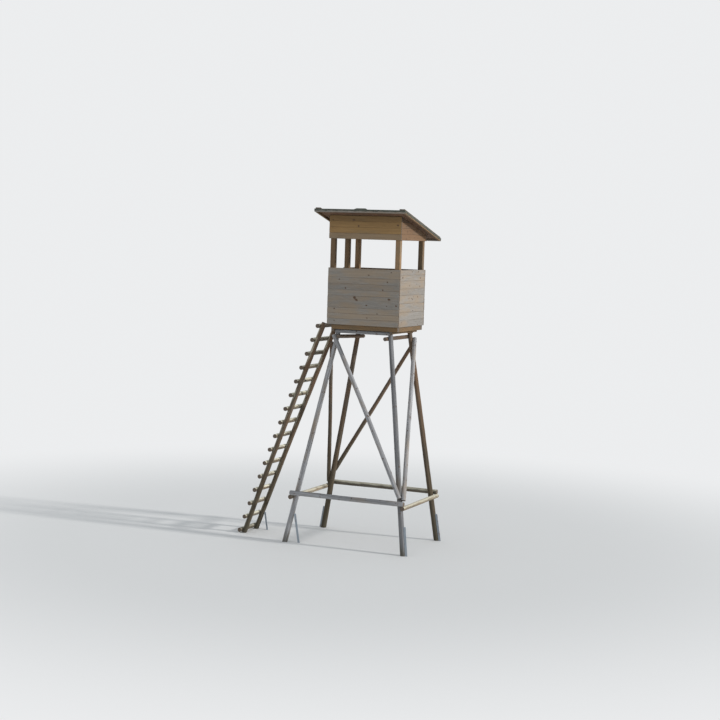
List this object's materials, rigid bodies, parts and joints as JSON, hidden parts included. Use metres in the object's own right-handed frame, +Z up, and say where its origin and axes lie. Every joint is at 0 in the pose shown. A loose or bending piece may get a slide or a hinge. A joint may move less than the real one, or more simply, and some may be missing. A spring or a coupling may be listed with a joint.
{
  "type": "hunting stand",
  "caption": "Raised wooden hunting stand: an open board cabin with a sloping felt roof on splayed round poles, with braces and a leaning ladder.",
  "frame": {"origin": "on the ground, under the middle of the whole stand's bounding box", "axes": "+Z up; the cabin's front looks along -Y; the ladder and the doorway are on the -X side"},
  "size_m": [3.805, 1.919, 6.5253],
  "materials": {
    "pole_wood": "peeled softwood poles, weathered to a cool silver grey",
    "cross_wood": "peeled round wood, grey with pale worn tops",
    "board_wood": "rough sawn boards, weathered grey with warm brown knots",
    "post_wood": "sawn squared timber, brown where it is sheltered",
    "beam_wood": "sawn squared timber, ochre brown",
    "deck_wood": "rough sawn floor boards, dry and dusty",
    "roof_felt": "bitumen roofing felt with dark green grey mineral grit",
    "stake_steel": "mill steel angle, dull blue grey with some rust"
  },
  "bodies": {
    "root": {"leg_front_left": "pole_wood", "leg_front_right": "pole_wood", "leg_back_left": "pole_wood", "leg_back_right": "pole_wood", "ring_pole_front": "cross_wood", "ring_pole_back": "cross_wood", "ring_pole_left": "cross_wood", "ring_pole_right": "cross_wood", "head_pole_front": "cross_wood", "head_pole_back": "cross_wood", "head_pole_left": "cross_wood", "head_pole_right": "cross_wood", "brace_front": "cross_wood", "brace_back": "cross_wood", "brace_left": "cross_wood", "brace_right": "cross_wood", "floor_frame": "beam_wood", "floor_deck": "deck_wood", "post_front_left": "post_wood", "post_front_right": "post_wood", "post_back_left": "post_wood", "post_back_right": "post_wood", "post_door": "post_wood", "plate_front": "post_wood", "plate_back": "post_wood", "parapet_front": "board_wood", "parapet_back": "board_wood", "parapet_left": "board_wood", "parapet_right": "board_wood", "band_front": "board_wood", "band_back": "board_wood", "band_left": "board_wood", "band_right": "board_wood", "roof_boards": "board_wood", "roof_felt": "roof_felt", "roof_batten_left": "cross_wood", "roof_batten_right": "cross_wood", "stake_front_left": "stake_steel", "stake_front_right": "stake_steel", "stake_back_left": "stake_steel", "stake_back_right": "stake_steel", "stake_ladder": "stake_steel", "ladder_rail_front": "pole_wood", "ladder_rail_back": "pole_wood", "rung_01": "cross_wood", "rung_02": "cross_wood", "rung_03": "cross_wood", "rung_04": "cross_wood", "rung_05": "cross_wood", "rung_06": "cross_wood", "rung_07": "cross_wood", "rung_08": "cross_wood", "rung_09": "cross_wood", "rung_10": "cross_wood", "rung_11": "cross_wood", "rung_12": "cross_wood", "rung_13": "cross_wood", "rung_14": "cross_wood", "rung_15": "cross_wood", "rung_16": "cross_wood"}
  },
  "joints": []
}
